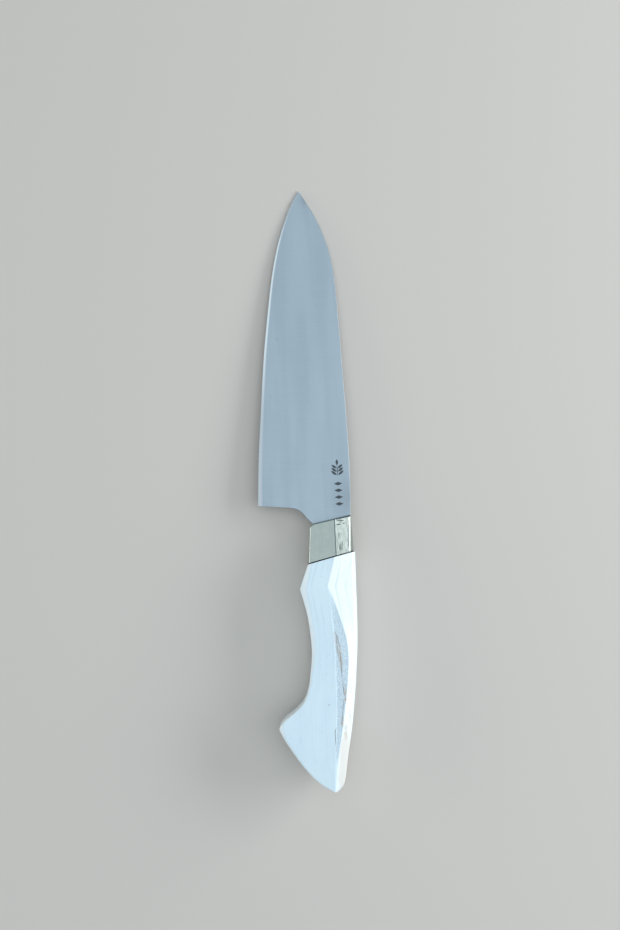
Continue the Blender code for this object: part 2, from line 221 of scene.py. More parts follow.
CAMERA_X, CAMERA_Y = -21.6, -11.8  # from the ricasso's corner on the spine
CAMERA_HEIGHT = 543.6  # above the floor
CAMERA_TILT = math.radians(4.17)
CAMERA_TURN = math.radians(-3.27)
CAMERA_LENS = 40
SENSOR = 36
FLOOR_SIZE = 6.0  # in metres

# ---------------------------------------------------------------- outlines


def smooth_outline(points, steps=OUTLINE_STEPS):
    """Points along a Catmull-Rom curve through the given (x, y) points."""
    ends = [Vector(points[0]) * 2 - Vector(points[1]), Vector(points[-1]) * 2 - Vector(points[-2])]
    knots = [ends[0], *map(Vector, points), ends[1]]
    curve = []
    for a, b, c, d in zip(knots, knots[1:], knots[2:], knots[3:]):
        bend = 2 * a - 5 * b + 4 * c - d
        twist = 3 * b - a - 3 * c + d
        for step in range(steps):
            t = step / steps
            curve.append((2 * b + (c - a) * t + bend * t**2 + twist * t**3) / 2)
    return [(p.x, p.y) for p in curve] + [tuple(points[-1])]


def slopes(keys):
    """Slopes at the keys that keep a cubic through them from overshooting."""
    rise = [(b[1] - a[1]) / (b[0] - a[0]) for a, b in zip(keys, keys[1:])]
    inner = [0.0 if a * b <= 0 else 2 * a * b / (a + b) for a, b in zip(rise, rise[1:])]
    return [rise[0], *inner, rise[-1]]


def along(keys, y):
    """Value at y of a smooth line through the (y, value) keys, which run from front to back."""
    y = min(max(y, keys[-1][0]), keys[0][0])
    tangents = slopes(keys)
    for (y0, v0), (y1, v1), m0, m1 in zip(keys, keys[1:], tangents, tangents[1:]):
        if y >= y1:
            span = y1 - y0
            t = (y - y0) / span
            start = v0 * (1 + 2 * t) * (1 - t) ** 2 + m0 * span * t * (1 - t) ** 2
            return start + v1 * t**2 * (3 - 2 * t) + m1 * span * t**2 * (t - 1)
    return keys[-1][1]


def split_along(front, rear, y):
    """A line that has a corner at the guard ridge."""
    return along(front if y > GUARD_Y else rear, y)


def blade_half(x, y):
    """Half the blade's thickness: each side is one flat plane, thinner to the edge and the tip."""
    across = (SPINE_ROOT_HALF - HEEL_HALF) / -(HEEL_X + BEVEL_AT_HEEL)
    lengthways = (TIP_HALF - SPINE_ROOT_HALF - across * TIP_X) / TIP_Y
    return SPINE_ROOT_HALF + across * x + lengthways * y


def smoothstep(low, high, value):
    t = min(max((value - low) / (high - low), 0.0), 1.0)
    return t * t * (3 - 2 * t)


# ---------------------------------------------------------------- placing


def rest_matrix():
    """From the design frame, in metres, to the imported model's frame."""
    tilt = math.atan2(GUARD_HALF - TIP_HALF, TIP_Y - GUARD_Y)
    turn = Matrix.Rotation(-tilt, 4, "X")
    low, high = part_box("blade")
    tip_front = turn @ Vector((TIP_X, TIP_Y, TIP_HALF)) * MM
    tip_under = turn @ Vector((TIP_X, TIP_Y, -TIP_HALF)) * MM
    place = Vector((low.x - HEEL_X * MM, high.y - tip_front.y, low.z - tip_under.z))
    return Matrix.Translation(place) @ turn


def mark_design(mesh):
    """Stores each vertex's place in the design frame, in millimetres, for the materials."""
    layer = mesh.attributes.new("design", "FLOAT_VECTOR", "POINT")
    layer.data.foreach_set("vector", [c for v in mesh.vertices for c in v.co])


def object_from(bm, name, material, nodes=(), sharp_angle=35, values=None):
    """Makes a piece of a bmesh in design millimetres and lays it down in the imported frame."""
    bmesh.ops.recalc_face_normals(bm, faces=bm.faces)
    mesh = bpy.data.meshes.new(name)
    bm.to_mesh(mesh)
    bm.free()
    mark_design(mesh)
    for attribute, numbers in (values or {}).items():
        layer = mesh.attributes.new(attribute, "FLOAT", "POINT")
        layer.data.foreach_set("value", numbers)
    mesh.transform(rest_matrix() @ Matrix.Scale(MM, 4))
    mesh.shade_smooth()
    mesh.set_sharp_from_angle(angle=math.radians(sharp_angle))
    mesh.materials.append(material)
    obj = bpy.data.objects.new(name, mesh)
    bpy.context.scene.collection.objects.link(obj)
    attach(obj, BODY)
    if nodes:
        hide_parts(*nodes)
    return obj


# ---------------------------------------------------------------- materials


class Shader:
    """A Principled material, with short ways to make the nodes that feed it."""

    def __init__(self, name, **values):
        self.material = bpy.data.materials.new(name)
        self.material.use_nodes = True
        self.tree = self.material.node_tree
        self.principled = self.tree.nodes["Principled BSDF"]
        for socket, value in values.items():
            self.principled.inputs[socket.replace("_", " ")].default_value = value

    def node(self, kind, **settings):
        made = self.tree.nodes.new("ShaderNode" + kind)
        for key, value in settings.items():
            setattr(made, key, value)
        return made

    def feed(self, socket, value):
        """Sets a socket to a constant, or links it to another node's output."""
        if isinstance(value, bpy.types.NodeSocket):
            self.tree.links.new(value, socket)
        else:
            socket.default_value = value

    def set(self, name, value):
        self.feed(self.principled.inputs[name], value)

    def attribute(self, name, output="Fac"):
        return self.node("Attribute", attribute_name=name).outputs[output]

    def design(self, scale=(1, 1, 1)):
        """The place on the knife in millimetres, times a scale for each axis."""
        return self.scaled(self.attribute("design", "Vector"), scale)

    def place(self):
        """The same place's x and y, each as a number."""
        split = self.node("SeparateXYZ")
        self.feed(split.inputs["Vector"], self.attribute("design", "Vector"))
        return split.outputs["X"], split.outputs["Y"]

    def scaled(self, vector, scale):
        mapping = self.node("Mapping")
        self.feed(mapping.inputs["Vector"], vector)
        mapping.inputs["Scale"].default_value = scale
        return mapping.outputs["Vector"]

    def noise(self, vector, scale=1.0, detail=2.0, roughness=0.5):
        made = self.node("TexNoise")
        self.feed(made.inputs["Vector"], vector)
        made.inputs["Scale"].default_value = scale
        made.inputs["Detail"].default_value = detail
        made.inputs["Roughness"].default_value = roughness
        return made.outputs["Fac"]

    def band(self, value, low, high, to_low=0.0, to_high=1.0):
        """Maps low..high to to_low..to_high, and holds beyond them."""
        made = self.node("MapRange", interpolation_type="SMOOTHSTEP")
        self.feed(made.inputs["Value"], value)
        limits = {"From Min": low, "From Max": high, "To Min": to_low, "To Max": to_high}
        for name, number in limits.items():
            made.inputs[name].default_value = number
        return made.outputs["Result"]

    def math(self, operation, a, b=0.0):
        made = self.node("Math", operation=operation)
        self.feed(made.inputs[0], a)
        self.feed(made.inputs[1], b)
        return made.outputs[0]

    def total(self, a, b):
        return self.math("ADD", a, b)

    def difference(self, a, b):
        return self.math("SUBTRACT", a, b)

    def product(self, a, b):
        return self.math("MULTIPLY", a, b)

    def strongest(self, values):
        first, *others = values
        for value in others:
            first = self.math("MAXIMUM", first, value)
        return first

    def mix(self, factor, a, b):
        """Colour a where the factor is 0 and colour b where it is 1."""
        made = self.node("Mix", data_type="RGBA")
        self.feed(made.inputs["Factor"], factor)
        for socket, colour in ((made.inputs[6], a), (made.inputs[7], b)):
            made_before = isinstance(colour, bpy.types.NodeSocket)
            self.feed(socket, colour if made_before else (*colour, 1.0))
        return made.outputs[2]

    def bump(self, height, distance, strength=1.0):
        """Relief whose height is a distance in millimetres."""
        made = self.node("Bump")
        self.feed(made.inputs["Height"], height)
        made.inputs["Distance"].default_value = distance * MM
        made.inputs["Strength"].default_value = strength
        return made.outputs["Normal"]


    def streak(self, start, end, half_width, wobble=0.0):
        """1 along a wavering line from start to end, 0 beyond its half width and its ends."""
        (x0, y0), (x1, y1) = start, end
        x, y = self.place()
        share = self.math("DIVIDE", self.difference(y, y0), y1 - y0)
        centre = self.total(self.product(share, x1 - x0), x0)
        off = self.total(self.difference(x, centre), wobble)
        from_middle = self.math("ABSOLUTE", self.difference(share, 0.5))
        reach = self.product(self.band(from_middle, 0.2, 0.5, 1.0, 0.0), half_width)
        inside = self.difference(reach, self.math("ABSOLUTE", off))
        return self.band(inside, 0.0, half_width * 0.6)

    def spot(self, centre, radius, strength):
        """The strength at a centre, falling to 0 at the radius."""
        across, lengthways = [self.difference(a, b) for a, b in zip(self.place(), centre)]
        squares = self.total(self.product(across, across), self.product(lengthways, lengthways))
        return self.band(self.math("POWER", squares, 0.5), 0.0, radius, strength, 0.0)


def steel_material():
    """Satin steel: fine grinding lines from the spine to the edge, and a brighter edge bevel with a
    painted highlight towards the tip. Painted shade lies along the bolster's front, and painted dark
    reflections lie near the tip and the ricasso.
    """
    steel = Shader("satin_steel", Metallic=1.0)
    x, y = steel.place()
    lines = steel.noise(steel.design((0.05, 5.0, 1.0)), detail=3.0, roughness=0.6)
    long_bands = steel.noise(steel.design((0.13, 0.012, 0.3)), detail=2.0)
    clouds = steel.noise(steel.design((0.05, 0.03, 0.3)), detail=3.0)
    body = steel.mix(steel.band(long_bands, 0.35, 0.65), (0.43, 0.51, 0.58), (0.475, 0.56, 0.625))
    body = steel.mix(steel.band(clouds, 0.35, 0.7, 0.0, 0.35), body, (0.40, 0.475, 0.54))
    body = steel.mix(steel.band(lines, 0.3, 0.7, 0.0, 0.4), body, (0.52, 0.60, 0.665))
    # Painted dark reflections: the steel is painted darker round these spots.
    for dark_reflection_spot in DARK_REFLECTION_SPOTS:
        body = steel.mix(steel.spot(*dark_reflection_spot), body, (0.25, 0.29, 0.33))

    # Painted shade: a dark band on the steel just in front of the bolster, along the joint.
    from_bolster = steel.difference(y, steel.product(x, FRONT_CANT))
    joint_y = SPINE[0][1]
    joint_shade = steel.band(from_bolster, joint_y + 0.3, joint_y + 1.0, 0.85, 0.0)
    body = steel.mix(joint_shade, body, (0.08, 0.10, 0.11))
    scratched = steel.strongest([steel.streak(*scratch) for scratch in SCRATCHES])
    body = steel.mix(steel.product(scratched, 0.5), body, (0.22, 0.27, 0.31))
    bevel = steel.attribute("bevel")
    # The edge bevel is lighter steel; from y 50 to 100 towards the tip it turns whiter still, a
    # painted highlight.
    bevel_tone_and_highlight = steel.mix(steel.band(y, 50, 100), (0.61, 0.66, 0.70), (0.86, 0.92, 0.95))
    steel.set("Base Color", steel.mix(bevel, body, bevel_tone_and_highlight))

    satin = steel.band(lines, 0.3, 0.7, 0.27, 0.37)
    satin = steel.total(satin, steel.band(clouds, 0.3, 0.7, 0.0, 0.05))
    steel.set("Roughness", steel.total(satin, steel.product(bevel, -0.12)))
    steel.set("Normal", steel.bump(lines, 0.004, 0.6))
    return steel.material


def nickel_silver_material():
    """Polished nickel silver: hairlines along it, smudges, scratches by its ridge, and a painted dark
    reflection along the ridge.
    """
    metal = Shader("nickel_silver", Metallic=1.0)
    hairlines = metal.noise(metal.design((4.0, 0.15, 4.0)), detail=3.0, roughness=0.65)
    smudges = metal.noise(metal.design((0.35, 0.22, 0.35)), detail=4.0, roughness=0.6)
    colour = metal.mix(metal.band(smudges, 0.4, 0.62), (0.487, 0.54, 0.505), (0.517, 0.567, 0.527))
    colour = metal.mix(metal.band(hairlines, 0.62, 0.75, 0.0, 0.3), colour, (0.66, 0.70, 0.64))

    ridge_x = BOLSTER_FRONT[2][0]
    on_facet = metal.band(metal.place()[0], ridge_x, ridge_x + 0.6)
    brushing = metal.noise(metal.design((6.0, 1.1, 3.0)), detail=3.0, roughness=0.7)
    brushed = metal.product(metal.band(brushing, 0.42, 0.62, 0.05, 0.3), on_facet)
    colour = metal.mix(brushed, colour, (0.28, 0.33, 0.31))
    marks = metal.strongest([metal.streak(*mark) for mark in BOLSTER_MARKS])
    dark = metal.product(marks, metal.band(brushing, 0.35, 0.55, 0.35, 1.0))
    # Painted dark reflection: a dark line down the bolster's ridge.
    dark = metal.strongest([dark, metal.streak(*RIDGE_DARK_REFLECTION)])
    metal.set("Base Color", metal.mix(dark, colour, (0.08, 0.11, 0.11)))

    blur = metal.band(smudges, 0.42, 0.6, 0.17, 0.14)
    metal.set("Roughness", metal.total(blur, metal.band(hairlines, 0.5, 0.75, 0.0, 0.08)))
    metal.set("Normal", metal.bump(hairlines, 0.003, 0.5))
    return metal.material


def bone_material():
    """Polished bone with lengthwise growth lines, its rough, stained natural surface, and painted
    light that whitens the facets along the spine and the belly.
    """
    bone = Shader("polished_bone", Subsurface_Weight=0.12, Subsurface_Scale=0.0015, Coat_Weight=0.25)
    bone.principled.inputs["Coat Roughness"].default_value = 0.12
    bone.principled.inputs["Subsurface Radius"].default_value = (1.0, 0.8, 0.6)
    grain = bone.attribute("grain", "Vector")
    growth = bone.noise(bone.scaled(grain, (0.9, 0.012, 0.5)), detail=4.0, roughness=0.55)
    fine = bone.noise(bone.scaled(grain, (3.5, 0.05, 2.0)), detail=2.0)
    clouds = bone.noise(bone.design((0.09, 0.05, 0.12)), detail=3.0)
    specks = bone.noise(bone.design((1.1, 0.55, 1.1)), detail=1.0)
    pores = bone.noise(bone.design((2.2, 1.1, 2.2)), detail=3.0, roughness=0.65)
    natural = bone.attribute("natural")
    outer = bone.attribute("outer")

    colour = bone.mix(bone.band(clouds, 0.35, 0.65), (0.68, 0.83, 0.93), (0.715, 0.86, 0.95))
    # Painted light: the facets along the spine and the belly are painted whiter than the side's flat.
    colour = bone.mix(outer, colour, (0.84, 0.92, 0.95))
    before_hook = bone.band(bone.place()[1], -108, -88, 0.35, 1.0)
    lined = bone.product(bone.band(growth, 0.54, 0.70, 0.0, 0.55), before_hook)
    colour = bone.mix(lined, colour, (0.58, 0.70, 0.80))
    colour = bone.mix(bone.band(fine, 0.58, 0.75, 0.0, 0.25), colour, (0.60, 0.70, 0.79))
    colour = bone.mix(bone.band(specks, 0.775, 0.80, 0.0, 0.6), colour, (0.36, 0.37, 0.36))
    skin = bone.mix(bone.band(pores, 0.40, 0.62), (0.43, 0.53, 0.61), (0.61, 0.74, 0.83))
    colour = bone.mix(bone.product(natural, 0.8), colour, skin)
    cream = bone.product(bone.streak(*CREAM), outer)
    colour = bone.mix(bone.product(cream, 0.85), colour, (0.77, 0.745, 0.70))

    waver = bone.noise(bone.design((0.0, 0.3, 0.12)), detail=3.0, roughness=0.55)
    wobble = bone.product(bone.difference(waver, 0.5), 1.6)
    slight_wobble = bone.product(wobble, 0.6)
    blotches = bone.noise(bone.design((1.1, 0.5, 1.1)), detail=4.0, roughness=0.65)
    stains = [
        bone.product(bone.streak(start, end, half_width, slight_wobble), strength)
        for start, end, half_width, strength in STAINS
    ]
    patchy = bone.product(bone.strongest(stains), bone.band(blotches, 0.38, 0.58, 0.25, 1.0))
    colour = bone.mix(bone.product(patchy, 0.8), colour, (0.46, 0.37, 0.27))
    crack = bone.strongest([bone.streak(*line, wobble) for line in CRACKS])
    dark = bone.product(crack, bone.band(blotches, 0.3, 0.55, 0.55, 0.9))
    bone.set("Base Color", bone.mix(dark, colour, (0.16, 0.15, 0.14)))

    rough = bone.product(bone.strongest([natural, crack]), 0.35)
    bone.set("Roughness", bone.total(bone.band(clouds, 0.3, 0.7, 0.27, 0.36), rough))
    height = bone.total(bone.product(fine, 0.2), bone.product(pores, natural))
    height = bone.difference(height, bone.product(crack, 3.0))
    bone.set("Normal", bone.bump(height, 0.05, 0.6))
    return bone.material


def etch_material():
    """Oxide left by electro-etching."""
    etch = Shader("etched_oxide", Metallic=0.35)
    grit = etch.noise(etch.design((6.0, 6.0, 6.0)), detail=2.0)
    etch.set("Base Color", etch.mix(grit, (0.045, 0.06, 0.07), (0.085, 0.105, 0.12)))
    etch.set("Roughness", etch.band(grit, 0.3, 0.7, 0.45, 0.65))
    etch.set("Normal", etch.bump(grit, 0.004))
    return etch.material


def fibre_material():
    """Black vulcanised fibre, matt and slightly mottled."""
    fibre = Shader("black_fibre")
    mottle = fibre.noise(fibre.design((2.0, 8.0, 2.0)), detail=3.0)
    fibre.set("Base Color", fibre.mix(mottle, (0.012, 0.012, 0.013), (0.03, 0.028, 0.027)))
    fibre.set("Roughness", fibre.band(mottle, 0.3, 0.7, 0.55, 0.75))
    fibre.set("Normal", fibre.bump(mottle, 0.01))
    return fibre.material


def epoxy_material():
    """Dark cured epoxy with a few trapped bubbles."""
    epoxy = Shader("cured_epoxy")
    place = epoxy.scaled(epoxy.node("TexCoord").outputs["Object"], (1 / MM,) * 3)
    bubbles = epoxy.noise(place, scale=0.9, detail=2.0)
    epoxy.set("Base Color", epoxy.mix(bubbles, (0.015, 0.015, 0.015), (0.05, 0.045, 0.04)))
    epoxy.set("Roughness", epoxy.band(bubbles, 0.3, 0.7, 0.3, 0.5))
    epoxy.set("Normal", epoxy.bump(epoxy.band(bubbles, 0.6, 0.7), 0.05))
    return epoxy.material


def floor_material():
    floor = Shader("pale_floor", Roughness=0.8)
    floor.set("Base Color", (0.64, 0.60, 0.56, 1.0))
    return floor.material


# ---------------------------------------------------------------- blade


def bevel_line(edge):
    """The inner border of the edge bevel, from near the tip to the heel."""
    keys = [(TIP_Y, BEVEL_AT_TIP), (90, BEVEL_MIDDLE), (HEEL_Y, BEVEL_AT_HEEL)]
    inner = []
    for before, here, after in zip(edge, edge[1:], [*edge[2:], edge[-1]]):
        direction = (Vector(after) - Vector(before)).normalized()
        inward = Vector((-direction.y, direction.x))
        point = Vector(here) + inward * along(keys, here[1])
        inner.append((point.x, point.y))
    heel = Vector(EDGE[-1])
    bottom = (Vector(CHOIL[0]) - heel).normalized()
    inner[-1] = tuple(heel + bottom * BEVEL_AT_HEEL)
    return inner


def eased_profile(point, inward, radius):
    """From the side's border to the rim of a wall with eased edges, as (x, y, z)."""
    border = Vector(point) + inward * radius
    half = blade_half(*border)
    profile = []
    for step in range(ARC_STEPS + 1):
        angle = math.pi / 2 * (1 - step / ARC_STEPS)
        place = Vector(point) + inward * radius * (1 - math.cos(angle))
        profile.append((place.x, place.y, half - radius * (1 - math.sin(angle))))
    return profile


def bevel_profile(inner, outer):
    """From the side's border over the edge bevel, a little crowned, to the cutting edge."""
    half = blade_half(*inner)
    profile = []
    for step in range(ARC_STEPS + 1):
        t = step / ARC_STEPS
        place = Vector(inner).lerp(Vector(outer), t)
        crown = BEVEL_CROWN * 4 * t * (1 - t)
        profile.append((place.x, place.y, half + (EDGE_HALF - half) * t + crown))
    return profile


def wall_profiles(points, side, radii):
    """Eased profiles along a wall; side is 1 where the steel lies to the left of its direction."""
    profiles = []
    for i, (point, radius) in enumerate(zip(points, radii)):
        before = Vector(points[max(i - 1, 0)])
        after = Vector(points[min(i + 1, len(points) - 1)])
        direction = (after - before).normalized()
        inward = Vector((-direction.y, direction.x)) * side
        profiles.append(eased_profile(point, inward, radius))
    return profiles


def blade_bmesh():
    """The ground blade: two flat sides, with a rim of profiles round them."""
    spine = smooth_outline(SPINE)
    edge = smooth_outline(EDGE)
    inner = bevel_line(edge)
    choil = [inner[-1], *smooth_outline(CHOIL)]
    spine_radii = [max(EASED * smoothstep(TIP_Y, TIP_Y - 12, y), UNEASED) for _, y in spine]
    choil_radii = [max(EASED * smoothstep(HEEL_X + 1, HEEL_X + 9, x), UNEASED) for x, _ in choil]
    profiles = wall_profiles(spine, 1, spine_radii)
    profiles += [bevel_profile(a, b) for a, b in zip(inner, edge[1:])]
    profiles += wall_profiles(choil, 1, choil_radii)

    bm = bmesh.new()
    rows = []
    for profile in profiles:
        upper = [bm.verts.new(p) for p in profile]
        lower = [bm.verts.new((x, y, -z)) for x, y, z in profile]
        rows.append([*upper, *reversed(lower)])
    for row, following in zip(rows, rows[1:] + rows[:1]):
        for a, b, c, d in zip(row, row[1:], following[1:], following):
            bm.faces.new((a, b, c, d))
    bm.faces.new([row[0] for row in rows])
    bm.faces.new([row[-1] for row in rows])
    bmesh.ops.remove_doubles(bm, verts=bm.verts, dist=0.004)
    return bm


def tang_side(front_x, end_x, outward):
    """One long side of the tang from front to end, as (x, y), with its notches."""

    def side_x(y):
        share = (TANG_FRONT_Y - y) / (TANG_FRONT_Y - TANG_END_Y)
        return front_x + (end_x - front_x) * share

    points = [(side_x(TANG_FRONT_Y), TANG_FRONT_Y)]
    for notch_y in NOTCH_Y:
        for step in range(NOTCH_STEPS + 1):
            angle = math.pi * step / NOTCH_STEPS
            y = notch_y + NOTCH_R * math.cos(angle)
            points.append((side_x(y) - outward * NOTCH_R * math.sin(angle), y))
    return points


def tang_bmesh():
    """The tang as a plate, from inside the ricasso to its round end."""
    belly = tang_side(TANG_FRONT_X[0], TANG_END_X[0], -1)
    back = tang_side(TANG_FRONT_X[1], TANG_END_X[1], 1)
    centre_x = sum(TANG_END_X) / 2
    end_r = (TANG_END_X[1] - TANG_END_X[0]) / 2
    end = []
    for step in range(TANG_END_STEPS + 1):
        angle = math.pi * step / TANG_END_STEPS
        end.append((centre_x - end_r * math.cos(angle), TANG_END_Y - end_r * math.sin(angle)))
    bm = bmesh.new()
    outline = [bm.verts.new((*p, -TANG_HALF)) for p in [*belly, *end, *reversed(back)]]
    raised = bmesh.ops.extrude_face_region(bm, geom=[bm.faces.new(outline)])["geom"]
    corners = [v for v in raised if isinstance(v, bmesh.types.BMVert)]
    bmesh.ops.translate(bm, vec=(0, 0, 2 * TANG_HALF), verts=corners)
    return bm


def joined(first, second):
    """The Boolean union of two closed bmeshes, as a new bmesh."""
    pair = []
    for bm in (first, second):
        bmesh.ops.recalc_face_normals(bm, faces=bm.faces)
        mesh = bpy.data.meshes.new("operand")
        bm.to_mesh(mesh)
        bm.free()
        obj = bpy.data.objects.new("operand", mesh)
        bpy.context.scene.collection.objects.link(obj)
        pair.append(obj)
    union = pair[0].modifiers.new("union", "BOOLEAN")
    union.operation = "UNION"
    union.solver = "EXACT"
    union.object = pair[1]
    graph = bpy.context.evaluated_depsgraph_get()
    evaluated = pair[0].evaluated_get(graph)
    result = bmesh.new()
    result.from_mesh(evaluated.to_mesh())
    evaluated.to_mesh_clear()
    for obj in pair:
        mesh = obj.data
        bpy.data.objects.remove(obj)
        bpy.data.meshes.remove(mesh)
    return result


def bevel_share(x, y, inner):
    """1 on the edge bevel and 0 on the blade's side."""
    nearest = min(inner, key=lambda p: (p[1] - y) ** 2 + (p[0] - x) ** 2)
    return 1.0 if x < nearest[0] - 0.05 and y > HEEL_Y - 1 else 0.0


def build_blade():
    bm = joined(blade_bmesh(), tang_bmesh())
    inner = bevel_line(smooth_outline(EDGE))
    shares = [bevel_share(v.co.x, v.co.y, inner) for v in bm.verts]
    blade = object_from(
        bm, "blade_steel", steel_material(), ["blade"], sharp_angle=20, values={"bevel": shares}
    )
    weighted = blade.modifiers.new("flat_sides", "WEIGHTED_NORMAL")
    weighted.keep_sharp = True
    return blade


# ---------------------------------------------------------------- etched mark


def leaf(base, angle, length, width):
    """Outline of a pointed leaf, as (x, y), that grows from its base at an angle from +Y."""
    outline = []
    for side in (1, -1):
        for step in range(LEAF_STEPS):
            share = step / LEAF_STEPS
            t = share if side == 1 else 1 - share
            across = side * width / 2 * math.sin(math.pi * t) ** 0.8
            outline.append((across, length * t))
    turn = Matrix.Rotation(-angle, 2)
    return [tuple(Vector(base) + turn @ Vector(p)) for p in outline]


def lozenge(centre, length, width):
    """Outline of a lozenge whose long axis runs across the blade, as (x, y)."""
    x, y = centre
    return [(x - length / 2, y), (x, y - width / 2), (x + length / 2, y), (x, y + width / 2)]


def mark_outlines():
    """A plain twig of leaves over a row of lozenges."""
    outlines = [leaf((MARK_X, TWIG_Y), 0, TWIG_LENGTH, TWIG_WIDTH)]
    outlines.append(leaf((MARK_X, TWIG_Y + LEAF_PAIRS * LEAF_PITCH + 0.4), 0, *TOP_LEAF))
    for i in range(LEAF_PAIRS):
        length, width = LEAF_SIZE
        for side in (1, -1):
            base = (MARK_X + side * 0.35, TWIG_Y + 0.6 + i * LEAF_PITCH)
            outlines.append(leaf(base, side * LEAF_ANGLE, length - LEAF_SHORTER * i, width))
    for i in range(LOZENGES):
        outlines.append(lozenge((MARK_X, LOZENGE_FIRST_Y - i * LOZENGE_PITCH), *LOZENGE_SIZE))
    return outlines


def build_etched_mark():
    """Thin plates, half sunk into the blade's left side."""
    bm = bmesh.new()
    for outline in mark_outlines():
        lower = [bm.verts.new((x, y, blade_half(x, y) - MARK_LIFT)) for x, y in outline]
        upper = [bm.verts.new((x, y, blade_half(x, y) + MARK_LIFT)) for x, y in outline]
        bm.faces.new(lower)
        bm.faces.new(upper)
        for a, b, c, d in zip(lower, lower[1:] + lower[:1], upper[1:] + upper[:1], upper):
            bm.faces.new((a, b, c, d))
    return object_from(bm, "etched_mark", etch_material())


# ---------------------------------------------------------------- bolster


def full_ring(half_section):
    """A closed section from its half, spine to belly, as (x, z)."""
    return [*half_section, *[(x, -z) for x, z in reversed(half_section)]]


def loft(rings):
    """A closed solid through rings of (x, y, z) points, all with the same number of points."""
    bm = bmesh.new()
    rows = [[bm.verts.new(p) for p in ring] for ring in rings]
    for row, following in zip(rows, rows[1:]):
        for i, vertex in enumerate(row):
            j = (i + 1) % len(row)
            bm.faces.new([vertex, row[j], following[j], following[i]])
    bm.faces.new(rows[0])
    bm.faces.new(rows[-1])
    return bm


def canted(half_section, y_at_zero, cant):
    """A full ring that lies in a canted joint plane."""
    return [(x, y_at_zero + cant * x, z) for x, z in full_ring(half_section)]


def cut_away(bm, point, outward):
    """Removes what lies beyond a plane and closes the cut."""
    geometry = [*bm.verts, *bm.edges, *bm.faces]
    cut = bmesh.ops.bisect_plane(bm, geom=geometry, plane_co=point, plane_no=outward, clear_outer=True)
    rim = [e for e in cut["geom_cut"] if isinstance(e, bmesh.types.BMEdge)]
    bmesh.ops.edgeloop_fill(bm, edges=rim)


def build_bolster():
    rings = [
        canted(BOLSTER_FRONT, BOLSTER_FRONT_Y, FRONT_CANT),
        canted(BOLSTER_BACK, BOLSTER_BACK_Y - BOLSTER_REACH, BACK_CANT),
    ]
    bm = loft(rings)
    bmesh.ops.recalc_face_normals(bm, faces=bm.faces)
    cut_away(bm, BOLSTER_CORNER, BOLSTER_CORNER_OUT)
    bolster = object_from(
        bm, "bolster_metal", nickel_silver_material(), ["bolster"], sharp_angle=180
    )
    eased = bolster.modifiers.new("eased_edges", "BEVEL")
    eased.width = BOLSTER_EASED * MM
    eased.segments = 3
    eased.limit_method = "ANGLE"
    eased.angle_limit = math.radians(15)
    bolster.modifiers.new("flat_faces", "WEIGHTED_NORMAL")
    return bolster


# ---------------------------------------------------------------- handle


def side_half(y):
    """Half the handle's thickness at its side's flat."""
    if y > GUARD_Y:
        share = (y - GUARD_Y) / (BONE_FRONT_Y - GUARD_Y)
        return GUARD_HALF + (FRONT_HALF - GUARD_HALF) * share
    return along(SIDE_HALF, y)


def crest_x(y):
    return along(BACK, y) - along(CREST, y)


def bevel_x(y):
    return split_along(BELLY_FRONT, BELLY, y) + along(BELLY_BEVEL, y)


CORNERS = (  # x and z of each of the half section's corners at y, spine to belly
    (lambda y: along(BACK, y), lambda y: along(BACK_HALF, y)),
    (crest_x, lambda y: along(CREST_HALF, y)),
    (
        lambda y: split_along(FACET_FRONT, FACET, y),
        lambda y: min(along(FACET_HALF, y), side_half(y) - 0.1),
    ),
    (lambda y: split_along(FLAT_TOP_FRONT, FLAT_TOP, y), side_half),
    (bevel_x, side_half),
    (lambda y: split_along(BELLY_FRONT, BELLY, y), lambda y: along(BELLY_HALF, y)),
)


def station_corners(station):
    """The section's corners at a station, which is canted at the front and square at the guard."""
    share = (station - GUARD_Y) / (BONE_FRONT_Y - GUARD_Y)
    cant = BACK_CANT * min(max(share, 0.0), 1.0)
    corners = []
    for x_at, z_at in CORNERS:
        y = station
        for _ in range(CANT_ROUNDS):
            y = station + cant * x_at(y)
        corners.append(Vector((x_at(y), y, z_at(y))))
    return corners


def station_columns(station, inset=0.0, seam=SEAM_HALF):
    """The half section as a row of points with rounded corners, and each point's place on it.

    The place is the number of the corner that the point follows, plus its share of the way to
    the next one; the natural surface lies between the corners 2 and 3.
    """
    corners = station_corners(station)
    if inset:
        centre = sum(corners, Vector()) / len(corners)
        for corner in corners:
            corner.x += math.copysign(inset, centre.x - corner.x)
            corner.z -= inset
    first = Vector((corners[0].x, corners[0].y, seam))
    last = Vector((corners[-1].x, corners[-1].y, seam))
    path = [first, *corners, last]
    row = []
    steps = (WALL_STEPS, *SPAN_STEPS, WALL_STEPS)
    for i, count in enumerate(steps):
        a, b = path[i], path[i + 1]
        length = (b - a).length
        cut_a = 0.0 if i == 0 else min(CORNER_RADII[i - 1], length * 0.3)
        cut_b = 0.0 if i == len(steps) - 1 else min(CORNER_RADII[i], length * 0.3)
        for step in range(count + 1):
            along_span = cut_a + (length - cut_a - cut_b) * step / count
            share = along_span / length if length else 0.0
            row.append((a.lerp(b, share), i - 1 + share))
        if i < len(steps) - 1:
            row += corner_arc(path[i], b, path[i + 2], cut_b, CORNER_RADII[i], i)
    return row


def corner_arc(before, corner, after, cut, radius, number):
    """Points between the ends of two spans, rounded towards their corner."""
    start = corner + (before - corner).normalized() * cut
    reach = min(radius, (after - corner).length * 0.3)
    end = corner + (after - corner).normalized() * reach
    arc = []
    for t in (0.25, 0.5, 0.75):
        point = start * (1 - t) ** 2 + corner * 2 * t * (1 - t) + end * t**2
        arc.append((point, number + (0.0 if t >= 0.5 else -0.001)))
    return arc


